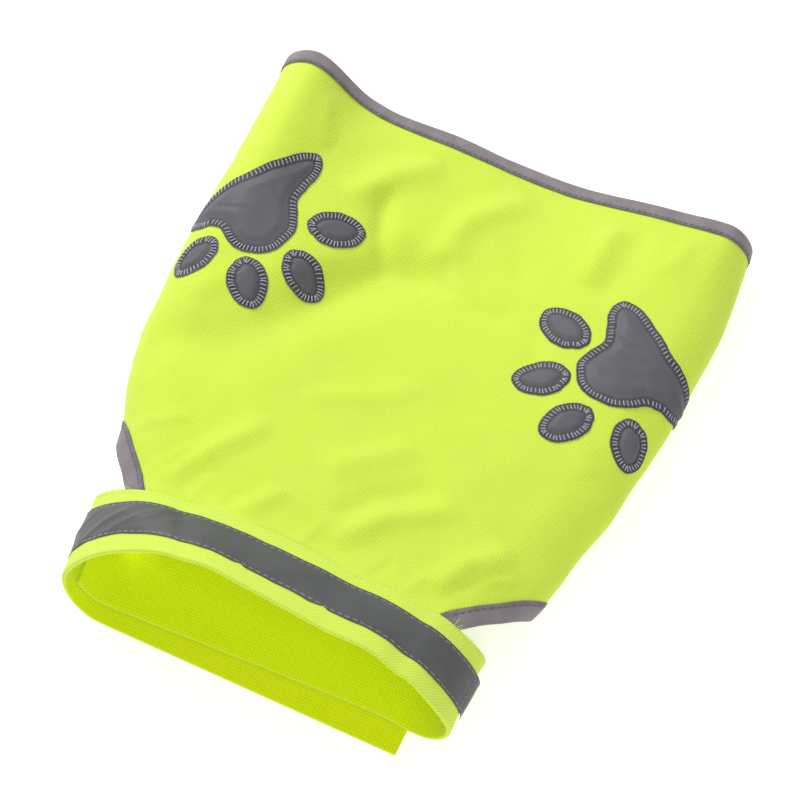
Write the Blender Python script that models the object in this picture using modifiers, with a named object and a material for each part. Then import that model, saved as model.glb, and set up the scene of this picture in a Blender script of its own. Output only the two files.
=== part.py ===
"""A small dog's safety vest lying on a table, neck end towards -Y and rear hem towards +Y.

The vest is a tube of bright cloth, flattened by its own weight between two rounded side folds.
Every piece is worked out in cloth coordinates: s is the distance round the tube from the middle
of the back, plus towards +X, and y is the distance along it. Layer.point turns them into space.
Sizes are in millimetres here and become metres in Layer.point.
"""

import bmesh
import bpy
import numpy as np

MM = 0.001

# Driving sizes, in millimetres.
RIM_Y = -133.0            # front edge of the neck band, at the table
BAND_WIDTH = 38.0
TAPE_FROM_RIM = 9.0
TAPE_WIDTH = 20.0
HEM_Y = 145.0             # rear edge of the vest
BINDING_WIDTH = 8.0
SEAM_GAP = 0.3
BINDING_GAP = 0.55
PAD_GAP = 1.4             # between the body's wall and a paw's pad, which bends round the side
TOE_GAP = 0.5
TAPE_GAP = 0.7            # between the wall of the band and the tape
ORIGIN_X = -0.79          # middle of the vest's box in the sizes used here
ORIGIN_Y = 6.28

BODY_WALL = 1.2
BINDING_WALL = 2.0
BAND_WALL = 2.2
TAPE_WALL = 1.0
PATCH_WALL = 1.0

BAND_END_UNDER = 68.0     # square end of the band's lower layer, in X
BAND_END_INSIDE = -90.0   # end of its upper layer, unless the left fold stops it first
FOLD_CLEAR = 4.5          # how far short of the left fold's outermost point it then ends
BAND_TWIST = 11.0         # how far the band's right end runs back as it goes under
TWIST_START = 75.0
TWIST_RUN = 60.0
TWIST_LOSS = 6.0          # how much of that it loses again on its way to the left fold
LOSS_START = 120.0
LOSS_RUN = 190.0
TAPE_END_LEFT = -112.0
TAPE_END_RIGHT = 99.0
FLAP_END_UNDER = 30.0     # edges of the two belly flaps, which lap under the vest
FLAP_END_INSIDE = -30.0
LAP_RAMP = 10.0           # length over which a layer rises onto the one under it
LAP_CLEAR = 6.0           # where it is up, short of that layer's end

UNDER_RUN = 1.1           # run of a side fold's lower quarter, against its middle's height
LOOP_STEPS = 60
NORMAL_STEP = 1.5

# The tube's section at each y: half width, middle in X, then for the left and right side folds the
# height of the outermost point, the height of the fold's top and how far in from the side it lies,
# the height of the back at four even places between the two fold tops, and last the power of the
# folds' upper quarters, where 2 would make them elliptical.
SECTION_COLUMNS = (
    "y", "half", "middle",
    "left_mid", "left_top", "left_run", "right_mid", "right_top", "right_run",
    "back_1", "back_2", "back_3", "back_4", "power",
)
SECTIONS = (
    (-133.0, 85.2, 0.7, 17, 54, 47, 22, 44, 22, 56, 53.5, 51, 48.5, 1.45),
    (-114.0, 86.3, -1.2, 17, 44.5, 41, 20, 39, 22, 47, 46, 44.5, 42.5, 1.48),
    (-95.0, 87.5, -2.5, 16, 33.5, 35, 17, 33, 22, 36.5, 38, 36, 34.5, 1.52),
    (-60.0, 96.0, -0.5, 15, 31, 30, 15, 29, 24, 33, 34, 33, 31, 1.6),
    (-20.0, 107.0, -2.5, 15, 31, 24, 14, 27, 24, 31, 29, 28, 28, 1.68),
    (20.0, 112.5, -1.5, 16, 32, 22, 14, 27, 22, 31, 24, 24, 27, 1.72),
    (60.0, 115.5, -0.5, 17, 34, 20, 14, 27, 20, 30, 20, 20, 26, 1.72),
    (100.0, 116.5, 0.0, 18, 36, 17, 13, 26, 18, 25, 16.5, 16.5, 25, 1.7),
    (145.0, 115.5, -2.5, 20, 36.5, 16, 12, 25.5, 12, 18.5, 12.5, 10, 21, 1.65),
)
BACK_PLACES = (0.12, 0.37, 0.63, 0.88)

# How far each millimetre of height leans the section back: the neck ring faces a little upwards.
LEAN = ((-133.0, 0.37), (-95.0, 0.37), (-40.0, 0.1), (0.0, 0.0), (145.0, 0.0))

# The cut edge of the leg openings, mirrored left and right: distance round from the back, and y.
LEG_CUT = (
    (67.0, -94.4), (72.0, -87.0), (77.0, -80.0), (84.0, -72.0), (92.0, -63.0),
    (101.0, -55.5), (113.0, -48.5), (130.0, -43.5), (155.0, -41.5), (300.0, -41.0),
)

BELLY_Y = LEG_CUT[-1][1]

# The largest folds of the back: width, height (minus for a trough), then points s, y along it.
FOLD_COLUMNS = ("name", "width", "height", "path")
FOLDS = (
    ("long trough, front", 15, -4.5, ((-104, -16), (-70, -8), (-52, 22))),
    ("long trough, rear", 13, -5.5, ((-60, 6), (-42, 38), (-22, 64), (0, 77))),
    ("crease beside the left paw", 5, -2.5, ((-49, 102), (-38, 80), (-27, 58))),
    ("curved ridge, left", 7, 3.0, ((-62, 86), (-46, 112), (-28, 127))),
    ("curved ridge, middle", 7, 3.0, ((-13, 72), (-7, 104), (16, 130))),
    ("trough from the hem", 7, -3.0, ((69, 134), (67, 108), (62, 84))),
    ("ridge from the hem", 6, 2.5, ((57, 128), (54, 108), (55, 92))),
    ("front ridge, upper", 7, 2.2, ((-6, -50), (8, -34), (26, -17))),
    ("front ridge, lower", 6, 2.6, ((13, -86), (26, -60), (54, -36))),
    ("front valley", 6, -2.2, ((8, -72), (20, -50), (42, -32))),
    ("ridge from the left leg", 6, 2.8, ((-63, -88), (-50, -60), (-34, -34))),
    ("short ridge at the seam", 5, 2.0, ((-25, -92), (-20, -80), (-15, -68))),
    ("ridge at the right leg", 6, 3.2, ((58, -86), (65, -64), (80, -46))),
)

# The paws: centre of the pad, the way its toes point, in degrees from -Y towards the middle, and
# how far the pad is pulled askew.
PAW_COLUMNS = ("name", "side", "s", "y", "turn", "skew")
PAWS = (
    ("left", -1, 95.0, 66.0, 41.0, 0.18),
    ("right", 1, 95.0, 63.0, 41.0, -0.13),
)
PAD_HALF_WIDTH = 29.0
PAD_HALF_LENGTH = 21.5
PAD_LOBES = 0.27
PAD_FRONT = 0.12
PAD_REAR = 17.0
TOE_COLUMNS = ("across", "along", "turn", "length", "width")
TOES = (
    (-31.5, 23.0, -70.0, 25.5, 17.5),
    (-12.5, 43.0, -20.0, 24.5, 17.0),
    (12.5, 43.0, 5.0, 24.5, 17.0),
    (31.5, 22.5, 66.0, 23.5, 16.5),
)

# Mesh steps.
BACK_COLUMNS = 24
FOLD_STEPS = 13
BELLY_STEPS = 8
FOLD_SHARE = 0.38
BODY_ROWS = 36
BAND_COLUMNS = 90
TAPE_COLUMNS = 60
BAND_ROWS = (0.0, 9.0, 19.0, 29.0, 38.0)
EDGE_STEPS = 40
EDGE_CROWDING = 1.3
PAD_POINTS = 40
PAD_RINGS = 6
TOE_POINTS = 18
TOE_RINGS = 2

CLOTH_COLOUR = (0.62, 0.86, 0.05, 1.0)
BINDING_COLOUR = (0.27, 0.23, 0.26, 1.0)
TAPE_COLOUR = (0.11, 0.115, 0.125, 1.0)
PATCH_COLOUR = (0.14, 0.135, 0.16, 1.0)


def smooth_step(value):
    value = np.clip(value, 0.0, 1.0)
    return value * value * (3.0 - 2.0 * value)


def through(places, values, at, flat_ends=False):
    """A smooth curve through the values, read at each place in at."""
    places, values, at = (np.asarray(a, float) for a in (places, values, at))
    gaps = np.diff(places)
    rises = np.diff(values) / gaps
    slopes = np.zeros(len(places))
    slopes[1:-1] = (rises[:-1] * gaps[1:] + rises[1:] * gaps[:-1]) / (gaps[:-1] + gaps[1:])
    if not flat_ends:
        slopes[0], slopes[-1] = rises[0], rises[-1]
    k = np.clip(np.searchsorted(places, at) - 1, 0, len(gaps) - 1)
    t = (at - places[k]) / gaps[k]
    start = values[k] * (2 * t**3 - 3 * t**2 + 1) + gaps[k] * slopes[k] * (t**3 - 2 * t**2 + t)
    end = values[k + 1] * (3 * t**2 - 2 * t**3) + gaps[k] * slopes[k + 1] * (t**3 - t**2)
    return start + end


def section_at(y):
    table = np.array(SECTIONS, float)
    return {
        name: float(through(table[:, 0], table[:, k], y))
        for k, name in enumerate(SECTION_COLUMNS)
    }


def lean_at(y):
    return through([row[0] for row in LEAN], [row[1] for row in LEAN], y)


def back_height(size, x):
    """Height of the cloth between the tops of the two side folds."""
    left = size["middle"] - size["half"] + size["left_run"]
    right = size["middle"] + size["half"] - size["right_run"]
    places = [left] + [left + share * (right - left) for share in BACK_PLACES] + [right]
    heights = [size[name] for name in ("left_top", "back_1", "back_2", "back_3", "back_4", "right_top")]
    return through(places, heights, x, flat_ends=True)


def clear_of_left_fold(size, x, wall):
    """Height at which a second layer lies clear of the left fold's lower quarter."""
    mid = size["left_mid"]
    run = min(size["left_run"], UNDER_RUN * mid)
    share = np.clip(1.0 - (x - size["middle"] + size["half"]) / run, 0.0, 0.99)
    rise = np.sqrt(1.0 - share**2)
    slope = (mid - wall / 2) * share / (run * rise)
    return mid - (mid - wall / 2) * rise + (wall + SEAM_GAP) * np.hypot(1.0, slope)


def half_section(y, side, wall, ends):
    """Distance, X and Z along the middle of the wall, from the back round one fold to its end.

    The half towards -X goes under first and lies on the table. The other half lies on it.
    """
    size = section_at(y)
    fold = "right" if side > 0 else "left"
    mid, top, run = size[fold + "_mid"], size[fold + "_top"], size[fold + "_run"]
    end_under, end_inside = ends
    end_inside = max(end_inside, size["middle"] - size["half"] + FOLD_CLEAR)
    outermost = size["middle"] + side * size["half"]

    def floor(x):
        if side < 0:
            return wall / 2
        lap = (wall + SEAM_GAP) * smooth_step((end_under + LAP_CLEAR + LAP_RAMP - x) / LAP_RAMP)
        clear = clear_of_left_fold(size, x, wall)
        return np.where(x < size["middle"], np.maximum(wall / 2 + lap, clear), wall / 2 + lap)

    turn = np.linspace(0.0, np.pi / 2, LOOP_STEPS // 2)
    x_top = np.linspace(size["middle"], outermost - side * run, LOOP_STEPS)
    z_top = back_height(size, x_top)
    x_upper = outermost - side * run * (1 - np.sin(turn) ** (2 / size["power"]))
    z_upper = mid + (top - mid) * np.cos(turn) ** (2 / size["power"])
    under = min(run, UNDER_RUN * mid)
    x_lower = outermost - side * under * (1 - np.cos(turn))
    z_lower = mid - (mid - floor(x_lower[-1])) * np.sin(turn)
    x_under = np.linspace(x_lower[-1], end_inside if side > 0 else end_under, LOOP_STEPS)
    z_under = floor(x_under) * np.ones(LOOP_STEPS)
    x = np.concatenate([x_top, x_upper[1:], x_lower[1:], x_under[1:]])
    z = np.concatenate([z_top, z_upper[1:], z_lower[1:], z_under[1:]])
    steps = np.hypot(np.diff(x), np.diff(z))
    return np.concatenate([[0.0], np.cumsum(steps)]), x, z


class Layer:
    """One layer of cloth: its wall thickness, where its two ends lie, and the surface itself."""

    def __init__(self, wall, ends):
        self.wall = wall
        self.ends = ends
        self.known = {}

    def half(self, y, side):
        key = (round(float(y), 2), side)
        if key not in self.known:
            self.known[key] = half_section(key[0], side, self.wall, self.ends)
        return self.known[key]

    def reach(self, y, side):
        """Distance round from the middle of the back to this side's end."""
        return self.half(y, side)[0][-1]

    def bare(self, s, y):
        """Points on the plain form, without the folds of the back, in millimetres."""
        points = []
        for distance, row in zip(np.ravel(s), np.ravel(y)):
            lengths, x, z = self.half(row, 1 if distance >= 0 else -1)
            height = np.interp(abs(distance), lengths, z)
            place = np.interp(abs(distance), lengths, x)
            points.append((place, row + lean_at(row) * height, height))
        return np.array(points)

    def normal(self, s, y):
        across = self.bare(s + NORMAL_STEP, y) - self.bare(s - NORMAL_STEP, y)
        along = self.bare(s, y + NORMAL_STEP) - self.bare(s, y - NORMAL_STEP)
        out = np.cross(across, along)
        return out / np.linalg.norm(out, axis=1)[:, None]

    def point(self, s, y, out=0.0):
        """Points on the cloth, moved out by so many millimetres, in metres."""
        s, y = np.ravel(s).astype(float), np.ravel(y).astype(float)
        lift = fold_height(s, y) + out
        points = self.bare(s, y) + self.normal(s, y) * lift[:, None]
        return (points - (ORIGIN_X, ORIGIN_Y, 0.0)) * MM


def fold_height(s, y):
    """Height of the back's folds over the plain form."""
    here = np.stack([s, y], axis=1)
    total = np.zeros(len(here))
    for row in FOLDS:
        fold = dict(zip(FOLD_COLUMNS, row))
        path = np.array(fold["path"], float)
        lengths = np.linalg.norm(np.diff(path, axis=0), axis=1)
        nearest = np.full(len(here), 1e9)
        along = np.zeros(len(here))
        for k, length in enumerate(lengths):
            way = (path[k + 1] - path[k]) / length
            t = np.clip((here - path[k]) @ way, 0.0, length)
            distance = np.linalg.norm(here - path[k] - t[:, None] * way, axis=1)
            closer = distance < nearest
            nearest = np.where(closer, distance, nearest)
            along = np.where(closer, (lengths[:k].sum() + t) / lengths.sum(), along)
        fade = 1.0 - (2.0 * along - 1.0) ** 4
        total += fold["height"] * fade * np.exp(-((nearest / fold["width"]) ** 2))
    return total


def leg_cut(s):
    """The y where the body's cloth starts, s millimetres round from the middle of the back."""
    places = [row[0] for row in LEG_CUT]
    return through(places, [row[1] for row in LEG_CUT], np.clip(np.abs(s), places[0], places[-1]))


def make_material(name, colour, roughness, metallic=0.0):
    material = bpy.data.materials.new(name)
    material.use_nodes = True
    shader = material.node_tree.nodes["Principled BSDF"]
    shader.inputs["Base Color"].default_value = colour
    shader.inputs["Roughness"].default_value = roughness
    shader.inputs["Metallic"].default_value = metallic
    return material


def add_cloth(name, bm, wall, collection, material):
    """A named object from an open surface, given its wall by Solidify."""
    bm.normal_update()
    mesh = bpy.data.meshes.new(name)
    bm.to_mesh(mesh)
    bm.free()
    mesh.shade_smooth()
    obj = bpy.data.objects.new(name, mesh)
    collection.objects.link(obj)
    obj.data.materials.append(material)
    solidify = obj.modifiers.new("wall", "SOLIDIFY")
    solidify.thickness = wall * MM
    solidify.offset = 0.0
    solidify.use_even_offset = True
    return obj


def grid_piece(name, layer, s, y, collection, material, out=0.0, wall=None):
    """A sheet whose rows and columns of s and y are two-dimensional arrays."""
    rows, columns = s.shape
    bm = bmesh.new()
    bmesh.ops.create_grid(bm, x_segments=columns - 1, y_segments=rows - 1, size=1.0)
    bm.verts.ensure_lookup_table()
    points = layer.point(s, y, out)
    for vert, point in zip(bm.verts, points):
        vert.co = point
    return add_cloth(name, bm, wall or layer.wall, collection, material)


def round_columns(layer, y):
    """Distances round the tube at which the body and the hem binding have their columns."""
    inner = LEG_CUT[0][0]
    middle = np.linspace(-inner, inner, BACK_COLUMNS + 1)
    share = np.concatenate([
        np.linspace(0.0, FOLD_SHARE, FOLD_STEPS + 1)[1:],
        np.linspace(FOLD_SHARE, 1.0, BELLY_STEPS + 1)[1:],
    ])
    left = -inner - share[::-1] * (layer.reach(y, -1) - inner)
    right = inner + share * (layer.reach(y, 1) - inner)
    return np.concatenate([left, middle, right])


def body_panel(collection, material):
    layer = Layer(BODY_WALL, (FLAP_END_UNDER, FLAP_END_INSIDE))
    front = leg_cut(round_columns(layer, BELLY_Y))
    back = HEM_Y - BINDING_WIDTH - BINDING_GAP
    share = np.linspace(0.0, 1.0, BODY_ROWS + 1)[:, None]
    y = front + share * (back - front)
    s = np.array([
        [round_columns(layer, value)[k] for k, value in enumerate(row)] for row in y
    ])
    return grid_piece("body_panel", layer, s, y, collection, material)


def hem_binding(collection, material):
    layer = Layer(BINDING_WALL, (FLAP_END_UNDER, FLAP_END_INSIDE))
    rows = HEM_Y - np.array([BINDING_WIDTH, BINDING_WIDTH / 2, 0.0])
    s = np.array([round_columns(layer, value) for value in rows])
    y = rows[:, None] * np.ones(s.shape[1])
    return grid_piece("hem_binding", layer, s, y, collection, material)


def leg_binding(name, side, collection, material):
    """The strip sewn round a leg opening's cut edge, from the neck seam to the belly flap's end."""
    layer = Layer(BINDING_WALL, (FLAP_END_UNDER, FLAP_END_INSIDE))
    end = layer.reach(BELLY_Y - BINDING_WIDTH, side)
    start = LEG_CUT[0][0] + 2 * SEAM_GAP
    share = np.linspace(0.0, 1.0, EDGE_STEPS + 1) ** EDGE_CROWDING
    around = start + share * (end - start)
    edge = np.stack([around, leg_cut(around)], axis=1)
    way = np.gradient(edge, axis=0)
    way /= np.linalg.norm(way, axis=1)[:, None]
    outward = np.stack([way[:, 1], -way[:, 0]], axis=1)
    seam = RIM_Y + BAND_WIDTH + 2 * SEAM_GAP
    lines = []
    for distance in (BINDING_GAP, BINDING_WIDTH / 2, BINDING_WIDTH):
        line = edge + outward * distance
        line[:, 1] = np.maximum(line[:, 1], seam)
        line[:, 0] = np.minimum(line[:, 0], end)
        line[-1, 0] = end
        lines.append(line)
    lines = np.array(lines)
    s, y = side * lines[:, :, 0], lines[:, :, 1]
    order = slice(None, None, -side)
    return grid_piece(name, layer, s[order], y[order], collection, material)


def band_twist(s):
    gain = BAND_TWIST * smooth_step((s - TWIST_START) / TWIST_RUN)
    return gain - TWIST_LOSS * smooth_step((s - LOSS_START) / LOSS_RUN)


def band_layer():
    return Layer(BAND_WALL, (BAND_END_UNDER, BAND_END_INSIDE))


def neck_band(collection, material):
    """The doubled neck band, a ring whose two ends lap underneath."""
    layer = band_layer()
    share = np.linspace(0.0, 1.0, BAND_COLUMNS + 1)
    rows = []
    for from_rim in BAND_ROWS:
        y = RIM_Y + from_rim
        left, right = layer.reach(y, -1), layer.reach(y + BAND_TWIST - TWIST_LOSS, 1)
        s = -left + share * (left + right)
        rows.append((s, y + band_twist(s)))
    s = np.array([row[0] for row in rows])
    y = np.array([row[1] for row in rows])
    return grid_piece("neck_band", layer, s, y, collection, material)


def neck_tape(collection, material):
    """The reflective tape round the band's visible side."""
    layer = band_layer()
    s = np.linspace(TAPE_END_LEFT, TAPE_END_RIGHT, TAPE_COLUMNS + 1)
    from_rim = TAPE_FROM_RIM + np.array([0.0, 0.5, 1.0]) * TAPE_WIDTH
    s, from_rim = np.meshgrid(s, from_rim)
    y = RIM_Y + from_rim + band_twist(s)
    out = BAND_WALL / 2 + TAPE_GAP + TAPE_WALL / 2
    return grid_piece("neck_tape", layer, s, y, collection, material, out, TAPE_WALL)


def disc(rings, count):
    """A flat disc of unit radius in so many rings, made by turning a radius through a full circle."""
    bm = bmesh.new()
    radius = [bm.verts.new((k / rings, 0.0, 0.0)) for k in range(rings + 1)]
    spokes = [bm.edges.new(pair) for pair in zip(radius, radius[1:])]
    bmesh.ops.spin(
        bm, geom=radius + spokes, axis=(0, 0, 1), cent=(0, 0, 0),
        angle=2 * np.pi, steps=count, use_merge=True,
    )
    bmesh.ops.remove_doubles(bm, verts=bm.verts, dist=0.001)
    return bm


def patch_piece(name, outline, rings, centre, turn, side, gap, collection, material):
    """A patch on the body, given by its outline round a centre and wrapped over the folds.

    The outline's second number points the way that turn gives, in radians from -Y.
    """
    layer = Layer(BODY_WALL, (FLAP_END_UNDER, FLAP_END_INSIDE))
    bm = disc(rings, len(outline))
    angles = np.linspace(0.0, 2 * np.pi, len(outline) + 1)
    closed = np.vstack([outline, outline[:1]])
    unit = np.array([vert.co[:2] for vert in bm.verts])
    angle = np.arctan2(unit[:, 1], unit[:, 0]) % (2 * np.pi)
    radius = np.hypot(unit[:, 0], unit[:, 1])
    across, along = (radius * np.interp(angle, angles, closed[:, k]) for k in (0, 1))
    s = centre[0] + across * np.cos(turn) - along * np.sin(turn)
    y = centre[1] - across * np.sin(turn) - along * np.cos(turn)
    out = BODY_WALL / 2 + gap + PATCH_WALL / 2
    for vert, point in zip(bm.verts, layer.point(side * s, y, out)):
        vert.co = point
    bmesh.ops.recalc_face_normals(bm, faces=bm.faces)
    return add_cloth(name, bm, PATCH_WALL, collection, material)


def toe_outline(length, width):
    angle = np.linspace(0.0, 2 * np.pi, TOE_POINTS, endpoint=False)
    return np.stack([width / 2 * np.cos(angle), length / 2 * np.sin(angle)], axis=1)


def pad_outline(skew):
    """A plain three-lobed paw pad: one lobe towards the toes and a wider one at each side."""
    angle = np.linspace(0.0, 2 * np.pi, PAD_POINTS, endpoint=False)
    ahead = np.sin(angle)
    lobes = 1.0 - PAD_LOBES * np.sin(3 * angle)
    lobes += PAD_FRONT * np.clip(ahead, 0.0, 1.0) ** 6
    across = PAD_HALF_WIDTH * lobes * np.cos(angle)
    along = PAD_HALF_LENGTH * lobes * ahead
    along = np.where(along < 0.0, PAD_REAR * np.tanh(along / PAD_REAR), along)
    return np.stack([across, along + skew * across], axis=1)


def paw(row, collection, material):
    size = dict(zip(PAW_COLUMNS, row))
    name, side, s, y = size["name"], size["side"], size["s"], size["y"]
    turn = np.radians(size["turn"])
    pad = (f"paw_{name}_pad", pad_outline(size["skew"]), PAD_RINGS, (s, y), turn)
    patch_piece(*pad, side, PAD_GAP, collection, material)
    for k, row in enumerate(TOES, 1):
        toe = dict(zip(TOE_COLUMNS, row))
        centre = (
            s + toe["across"] * np.cos(turn) - toe["along"] * np.sin(turn),
            y - toe["across"] * np.sin(turn) - toe["along"] * np.cos(turn),
        )
        outline = toe_outline(toe["length"], toe["width"])
        spun = turn - np.radians(toe["turn"])
        patch = (f"paw_{name}_toe_{k}", outline, TOE_RINGS, centre, spun)
        patch_piece(*patch, side, TOE_GAP, collection, material)


def main():
    for obj in list(bpy.data.objects):
        bpy.data.objects.remove(obj, do_unlink=True)
    vest = bpy.data.collections.new("dog_safety_vest")
    bpy.context.scene.collection.children.link(vest)
    cloth = make_material("bright_cloth", CLOTH_COLOUR, 0.85)
    binding = make_material("grey_binding", BINDING_COLOUR, 0.7)
    tape = make_material("reflective_tape", TAPE_COLOUR, 0.45, 0.2)
    patch = make_material("reflective_patch", PATCH_COLOUR, 0.5, 0.2)
    body_panel(vest, cloth)
    hem_binding(vest, binding)
    leg_binding("leg_binding_left", -1, vest, binding)
    leg_binding("leg_binding_right", 1, vest, binding)
    neck_band(vest, cloth)
    neck_tape(vest, tape)
    for row in PAWS:
        paw(row, vest, patch)


main()
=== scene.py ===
"""A small dog's safety vest of bright cloth, lying on its belly on a pale floor.

Every piece is worked out in cloth coordinates, in millimetres: s is the distance round the tube
from the middle of the back, plus towards +X, y is the distance along it from neck to hem, and
out is the height over the middle of the cloth's wall. Cloth.point turns them into space.
"""
from math import cos, pi, radians, sin

import bmesh
import bpy
import numpy as np
from mathutils import Matrix, Vector


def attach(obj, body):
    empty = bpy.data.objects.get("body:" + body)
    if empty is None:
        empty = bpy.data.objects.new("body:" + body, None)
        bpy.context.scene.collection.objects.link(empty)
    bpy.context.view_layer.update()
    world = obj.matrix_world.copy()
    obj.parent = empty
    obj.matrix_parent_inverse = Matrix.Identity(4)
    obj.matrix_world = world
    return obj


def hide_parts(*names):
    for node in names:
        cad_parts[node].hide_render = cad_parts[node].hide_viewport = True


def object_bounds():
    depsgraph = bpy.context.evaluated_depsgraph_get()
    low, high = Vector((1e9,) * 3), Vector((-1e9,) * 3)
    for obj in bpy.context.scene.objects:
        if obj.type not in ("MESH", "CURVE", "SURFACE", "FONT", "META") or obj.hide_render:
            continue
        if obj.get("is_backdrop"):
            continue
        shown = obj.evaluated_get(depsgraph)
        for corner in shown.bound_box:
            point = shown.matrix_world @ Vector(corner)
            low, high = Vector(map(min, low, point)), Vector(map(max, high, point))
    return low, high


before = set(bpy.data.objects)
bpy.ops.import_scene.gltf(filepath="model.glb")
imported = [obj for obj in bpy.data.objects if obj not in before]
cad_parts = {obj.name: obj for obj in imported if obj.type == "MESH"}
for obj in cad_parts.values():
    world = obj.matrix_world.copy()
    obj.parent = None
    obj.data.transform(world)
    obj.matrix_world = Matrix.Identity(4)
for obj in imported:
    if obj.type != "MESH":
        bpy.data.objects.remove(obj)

bl_info = {
    "name": "Dog safety vest",
    "version": (1, 0, 0),
    "blender": (4, 5, 0),
    "location": "3D View > Sidebar > Vest",
    "description": "Builds a small dog's reflective safety vest",
    "category": "Add Mesh",
}

CAD_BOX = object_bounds()
MM = 0.001

# The vest's own sizes, in millimetres.
RIM_Y = -133.0
BAND_WIDTH = 38.0
TAPE_FROM_RIM = 9.0
TAPE_WIDTH = 20.0
TAPE_SEAM = 1.25
TAPE_PITCH = 3.3
HEM_Y = 145.0
BINDING_WIDTH = 8.0
HEM_WIDTH = 7.2
MIDDLE_X = -0.79
MIDDLE_Y = 6.28
SEAM_Y = RIM_Y + BAND_WIDTH

BODY_WALL = 1.2
BINDING_WALL = 2.0
BAND_WALL = 2.2

BAND_END_UNDER = 68.0
BAND_END_INSIDE = -90.0
FOLD_CLEAR = 4.5
BAND_TWIST = 11.0
TWIST_START = 75.0
TWIST_RUN = 60.0
TWIST_LOSS = 6.0
LOSS_START = 120.0
LOSS_RUN = 190.0
TAPE_END_LEFT = -112.0
TAPE_END_RIGHT = 99.0
FLAP_END_UNDER = 30.0
FLAP_END_INSIDE = -30.0
LAP_GAP = 0.3
LAP_RAMP = 10.0
LAP_CLEAR = 6.0

UNDER_RUN = 1.1           # how far the side's lower quarter reaches in, against its height
LOOP_STEPS = 60
FREE_FROM, FREE_RUN = 3.0, 9.0      # height from which cloth is free to wave

SECTION_COLUMNS = (
    "y", "half", "middle",
    "left_mid", "left_top", "left_run", "right_mid", "right_top", "right_run",
    "back_1", "back_2", "back_3", "back_4", "power",
)
SECTIONS = (
    (-133.0, 85.2, 0.7, 17, 54, 47, 22, 44, 22, 56, 53.5, 51, 48.5, 1.45),
    (-114.0, 86.3, -1.2, 17, 44.5, 41, 20, 39, 22, 47, 46, 44.5, 42.5, 1.48),
    (-95.0, 87.5, -2.5, 16, 33.5, 35, 17, 33, 22, 36.5, 38, 36, 34.5, 1.52),
    (-60.0, 96.0, -0.5, 15, 31, 30, 15, 29, 24, 33, 34, 33, 31, 1.6),
    (-20.0, 107.0, -2.5, 15, 31, 24, 14, 27, 24, 31, 29, 28, 28, 1.68),
    (20.0, 112.5, -1.5, 16, 32, 22, 14, 27, 22, 31, 24, 24, 27, 1.72),
    (60.0, 115.5, -0.5, 17, 34, 20, 14, 27, 20, 30, 20, 20, 26, 1.72),
    (100.0, 116.5, 0.0, 18, 36, 17, 13, 26, 18, 25, 16.5, 16.5, 25, 1.7),
    (145.0, 115.5, -2.5, 20, 36.5, 16, 12, 25.5, 12, 18.5, 12.5, 10, 21, 1.65),
)
BACK_PLACES = (0.12, 0.37, 0.63, 0.88)
LEAN = ((-133.0, 0.37), (-95.0, 0.37), (-40.0, 0.1), (0.0, 0.0), (145.0, 0.0))
LEG_CUT = (
    (67.0, -94.4), (72.0, -87.0), (77.0, -80.0), (84.0, -72.0), (92.0, -63.0),
    (101.0, -55.5), (113.0, -48.5), (130.0, -43.5), (155.0, -41.5), (300.0, -41.0),
)

FLAP_Y = LEG_CUT[-1][1]   # the flaps' front edges

# Folds and creases: name, width, height (minus for a trough), then points s, y along each.
FOLDS = (
    ("long trough, front", 15, -4.5, ((-104, -16), (-70, -8), (-52, 22))),
    ("long trough, rear", 13, -5.5, ((-60, 6), (-42, 38), (-22, 64), (0, 77))),
    ("beside the left paw", 5, -2.5, ((-49, 102), (-38, 80), (-27, 58))),
    ("curved ridge, left", 7, 3.0, ((-62, 86), (-46, 112), (-28, 127))),
    ("curved ridge, middle", 7, 3.0, ((-13, 72), (-7, 104), (16, 130))),
    ("trough from the hem", 7, -1.8, ((69, 134), (67, 108), (62, 84))),
    ("ridge from the hem", 6, 2.5, ((57, 128), (54, 108), (55, 92))),
    ("front ridge, upper", 7, 2.2, ((-6, -50), (8, -34), (26, -17))),
    ("front ridge, lower", 6, 2.6, ((13, -86), (26, -60), (54, -36))),
    ("front valley", 6, -2.2, ((8, -72), (20, -50), (42, -32))),
    ("from the left leg", 6, 2.8, ((-63, -88), (-50, -60), (-34, -34))),
    ("short, at the seam", 5, 2.0, ((-25, -92), (-20, -80), (-15, -68))),
    ("at the right leg", 6, 3.2, ((58, -86), (65, -64), (80, -46))),
)
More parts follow.
